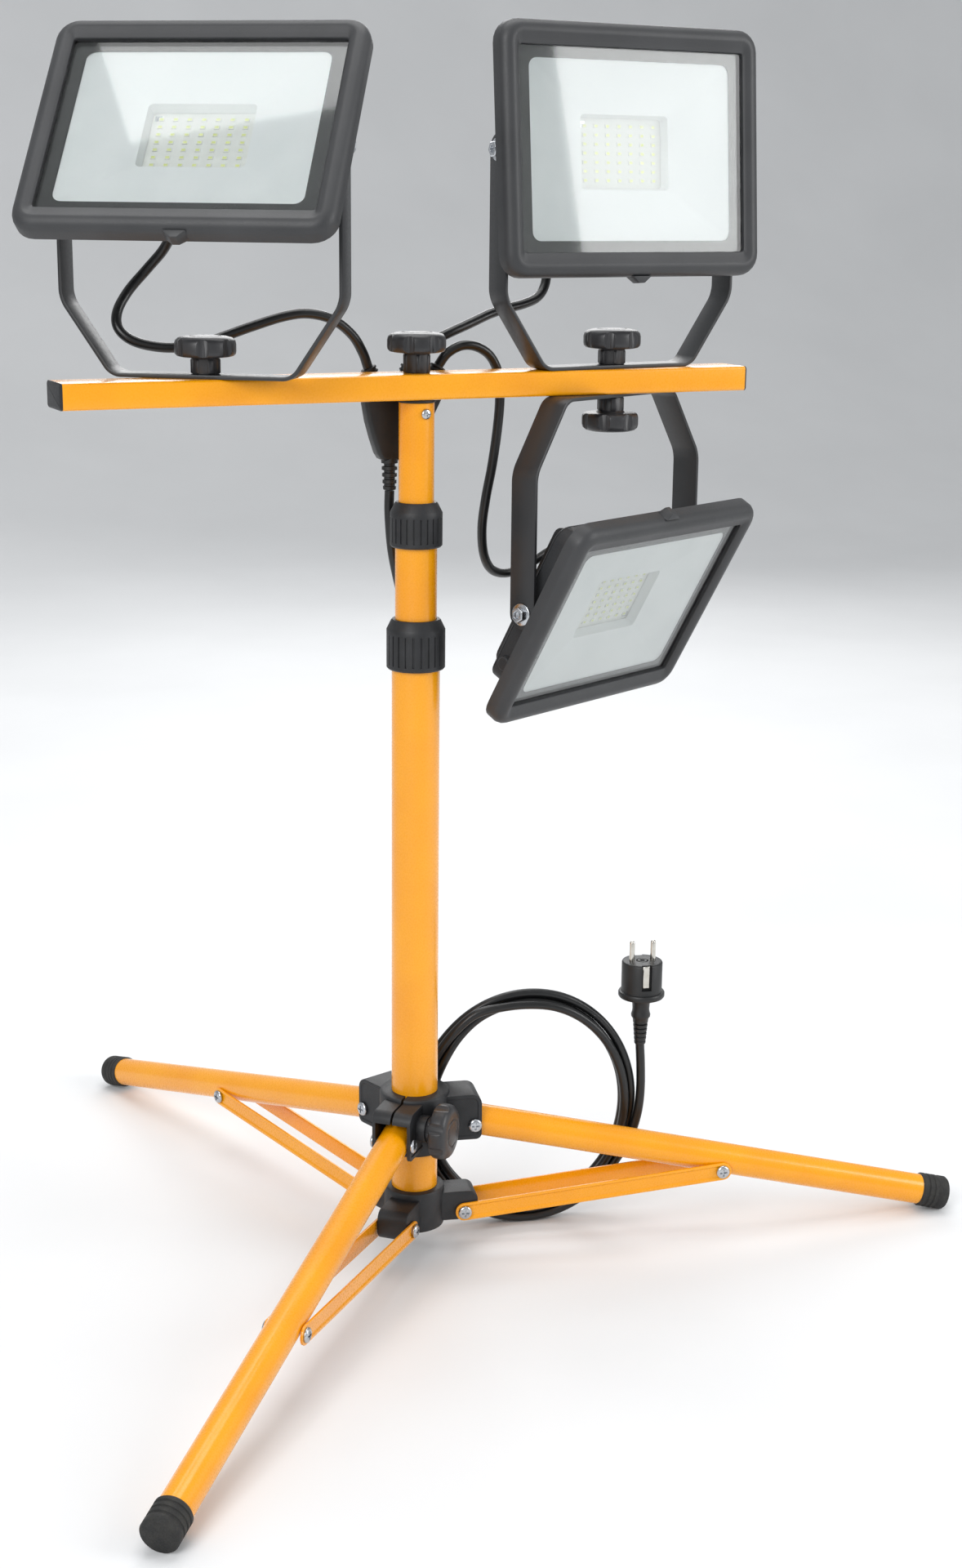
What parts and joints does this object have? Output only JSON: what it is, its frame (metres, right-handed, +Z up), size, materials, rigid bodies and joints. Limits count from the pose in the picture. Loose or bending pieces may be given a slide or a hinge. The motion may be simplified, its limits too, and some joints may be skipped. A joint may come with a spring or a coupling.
{
  "type": "tripod work light",
  "caption": "Telescopic tripod work light: flat LED floodlights on swivelling yokes along a crossbar, with star knobs, a folding braced tripod and a coiled mains cord.",
  "frame": {"origin": "centre of the footprint on the floor, under the middle of the object's box without its free cords; the mast's axis stands at x = -0.0653, y = -0.0558", "axes": "+Z up along the mast, +X along the crossbar towards the pair of lamps, -Y the side the lamps shine to"},
  "size_m": [0.831, 0.8402, 1.0241],
  "materials": {
    "yellow_powder_coat": "glossy powder coat on steel tube",
    "black_nylon": "moulded glass-filled nylon",
    "knob_plastic": "moulded, satin",
    "black_rubber": "extruded and moulded rubber",
    "plug_plastic": "moulded soft PVC with nickel pins",
    "zinc_steel": "bright zinc plate",
    "black_die_casting": "textured black coat on die-cast aluminium",
    "black_bezel_coat": "fine-textured black coat",
    "lamp_glass": "clear toughened glass",
    "white_reflector": "white coated sheet",
    "led_board_white": "white solder mask on aluminium",
    "black_strap_coat": "satin black coat on steel strap"
  },
  "bodies": {
    "stand": {"outer_tube": "yellow_powder_coat", "outer_tube_bush": "black_nylon", "base_hub": "black_nylon", "brace_pins": "zinc_steel", "mains_cord": "black_rubber", "cord_coil": "black_rubber", "plug": "plug_plastic"},
    "lower_collar": {"lower_collar": "black_nylon"},
    "mid_section": {"mid_tube": "yellow_powder_coat", "mid_tube_bush": "black_nylon"},
    "upper_collar": {"upper_collar": "black_nylon"},
    "top_section": {"top_tube": "yellow_powder_coat", "mast_cap": "black_nylon"},
    "crossbar": {"crossbar": "yellow_powder_coat", "bar_caps": "black_nylon", "bar_nuts": "zinc_steel", "splitter": "black_rubber", "left_lead": "black_rubber", "right_lead": "black_rubber", "hanging_lead": "black_rubber"},
    "centre_knob": {"centre_knob": "knob_plastic"},
    "leg_hub": {"leg_hub": "black_nylon", "leg_pins": "zinc_steel"},
    "hub_knob": {"hub_knob": "knob_plastic"},
    "left_yoke": {"left_yoke": "black_strap_coat"},
    "left_knob": {"left_knob": "knob_plastic"},
    "left_lamp": {"left_housing": "black_die_casting", "left_bezel": "black_bezel_coat", "left_glass": "lamp_glass", "left_reflector": "white_reflector", "left_led_board": "led_board_white", "left_gland": "black_nylon", "left_pivot_bolts": "zinc_steel"},
    "right_yoke": {"right_yoke": "black_strap_coat"},
    "right_knob": {"right_knob": "knob_plastic"},
    "right_lamp": {"right_housing": "black_die_casting", "right_bezel": "black_bezel_coat", "right_glass": "lamp_glass", "right_reflector": "white_reflector", "right_led_board": "led_board_white", "right_gland": "black_nylon", "right_pivot_bolts": "zinc_steel"},
    "hanging_yoke": {"hanging_yoke": "black_strap_coat"},
    "hanging_knob": {"hanging_knob": "knob_plastic"},
    "hanging_lamp": {"hanging_housing": "black_die_casting", "hanging_bezel": "black_bezel_coat", "hanging_glass": "lamp_glass", "hanging_reflector": "white_reflector", "hanging_led_board": "led_board_white", "hanging_gland": "black_nylon", "hanging_pivot_bolts": "zinc_steel"},
    "leg_a": {"leg_a": "yellow_powder_coat", "foot_a": "black_rubber"},
    "brace_a": {"brace_a": "yellow_powder_coat"},
    "leg_b": {"leg_b": "yellow_powder_coat", "foot_b": "black_rubber"},
    "brace_b": {"brace_b": "yellow_powder_coat"},
    "leg_c": {"leg_c": "yellow_powder_coat", "foot_c": "black_rubber"},
    "brace_c": {"brace_c": "yellow_powder_coat"}
  },
  "joints": [
    {"name": "lower_collar_twist", "type": "hinge", "parent": "stand", "child": "lower_collar", "pos_m": [-0.0653, -0.0558, 0.54], "axis": [0, 0, 1], "range_deg": [0, 120]},
    {"name": "mid_mast_slide", "type": "slide", "parent": "stand", "child": "mid_section", "axis": [0, 0, 1], "range_m": [-0.055, 0.3], "deforming": ["mains_cord"]},
    {"name": "upper_collar_twist", "type": "hinge", "parent": "mid_section", "child": "upper_collar", "pos_m": [-0.0653, -0.0558, 0.636], "axis": [0, 0, 1], "range_deg": [0, 120]},
    {"name": "top_mast_slide", "type": "slide", "parent": "mid_section", "child": "top_section", "axis": [0, 0, 1], "range_m": [-0.075, 0.28], "deforming": ["mains_cord"]},
    {"name": "crossbar_turn", "type": "hinge", "parent": "top_section", "child": "crossbar", "pos_m": [-0.0653, -0.0558, 0.746], "axis": [0, 0, 1], "range_deg": [-180, 180], "deforming": ["mains_cord"]},
    {"name": "centre_knob_turn", "type": "hinge", "parent": "crossbar", "child": "centre_knob", "pos_m": [-0.0653, -0.0558, 0.77], "axis": [0, 0, 1], "continuous": true},
    {"name": "left_swivel", "type": "hinge", "parent": "crossbar", "child": "left_yoke", "pos_m": [-0.2393, -0.0558, 0.756], "axis": [0, 0, 1], "range_deg": [-60, 110], "deforming": ["left_lead"]},
    {"name": "left_knob_turn", "type": "hinge", "parent": "crossbar", "child": "left_knob", "pos_m": [-0.2393, -0.0558, 0.756], "axis": [0, 0, 1], "continuous": true},
    {"name": "left_tilt", "type": "hinge", "parent": "left_yoke", "child": "left_lamp", "pos_m": [-0.2393, -0.0558, 0.927], "axis": [-0.809, 0.5878, 0], "range_deg": [-38.5, 81.5], "deforming": ["left_lead"]},
    {"name": "right_swivel", "type": "hinge", "parent": "crossbar", "child": "right_yoke", "pos_m": [0.1087, -0.0558, 0.756], "axis": [0, 0, 1], "range_deg": [-90, 90], "deforming": ["right_lead"]},
    {"name": "right_knob_turn", "type": "hinge", "parent": "crossbar", "child": "right_knob", "pos_m": [0.1087, -0.0558, 0.756], "axis": [0, 0, 1], "continuous": true},
    {"name": "right_tilt", "type": "hinge", "parent": "right_yoke", "child": "right_lamp", "pos_m": [0.1087, -0.0558, 0.927], "axis": [-0.9945, -0.1045, 0], "range_deg": [-4.5, 115.5], "deforming": ["right_lead"]},
    {"name": "hanging_swivel", "type": "hinge", "parent": "crossbar", "child": "hanging_yoke", "pos_m": [0.1087, -0.0558, 0.736], "axis": [0, 0, 1], "range_deg": [-114.5, 65.5], "deforming": ["hanging_lead"]},
    {"name": "hanging_knob_turn", "type": "hinge", "parent": "crossbar", "child": "hanging_knob", "pos_m": [0.1087, -0.0558, 0.736], "axis": [0, 0, 1], "continuous": true},
    {"name": "hanging_tilt", "type": "hinge", "parent": "hanging_yoke", "child": "hanging_lamp", "pos_m": [0.1087, -0.0558, 0.565], "axis": [0.91, 0.4147, 0], "range_deg": [-29, 91], "deforming": ["hanging_lead"]},
    {"name": "hub_slide", "type": "slide", "parent": "stand", "child": "leg_hub", "axis": [0, 0, 1], "range_m": [0, 0.33]},
    {"name": "hub_knob_turn", "type": "hinge", "parent": "leg_hub", "child": "hub_knob", "pos_m": [-0.08537, -0.07673, 0.127], "axis": [0.7218, -0.6921, 0], "continuous": true},
    {"name": "leg_a_fold", "type": "hinge", "parent": "leg_hub", "child": "leg_a", "pos_m": [-0.01674, -0.06773, 0.119], "axis": [0.2385, 0.9711, 0], "range_deg": [0, 48.2]},
    {"name": "brace_a_fold", "type": "hinge", "parent": "stand", "child": "brace_a", "pos_m": [-0.02451, -0.06582, 0.038], "axis": [-0.2385, -0.9711, 0], "range_deg": [0, 56.3]},
    {"name": "leg_b_fold", "type": "hinge", "parent": "leg_hub", "child": "leg_b", "pos_m": [-0.07925, -0.00779, 0.119], "axis": [-0.9603, -0.279, 0], "range_deg": [0, 48.2]},
    {"name": "brace_b_fold", "type": "hinge", "parent": "stand", "child": "brace_b", "pos_m": [-0.07702, -0.01547, 0.038], "axis": [0.9603, 0.279, 0], "range_deg": [0, 56.3]},
    {"name": "leg_c_fold", "type": "hinge", "parent": "leg_hub", "child": "leg_c", "pos_m": [-0.09991, -0.09189, 0.119], "axis": [0.7218, -0.6921, 0], "range_deg": [0, 48.2]},
    {"name": "brace_c_fold", "type": "hinge", "parent": "stand", "child": "brace_c", "pos_m": [-0.09437, -0.08611, 0.038], "axis": [-0.7218, 0.6921, 0], "range_deg": [0, 56.3]}
  ],
  "couplings": [
    {"joint": "leg_a_fold", "follows": "hub_slide", "rad_per_m": 2.5387},
    {"joint": "brace_a_fold", "follows": "hub_slide", "rad_per_m": 2.9671},
    {"joint": "leg_b_fold", "follows": "hub_slide", "rad_per_m": 2.5387},
    {"joint": "brace_b_fold", "follows": "hub_slide", "rad_per_m": 2.9671},
    {"joint": "leg_c_fold", "follows": "hub_slide", "rad_per_m": 2.5387},
    {"joint": "brace_c_fold", "follows": "hub_slide", "rad_per_m": 2.9671}
  ]
}
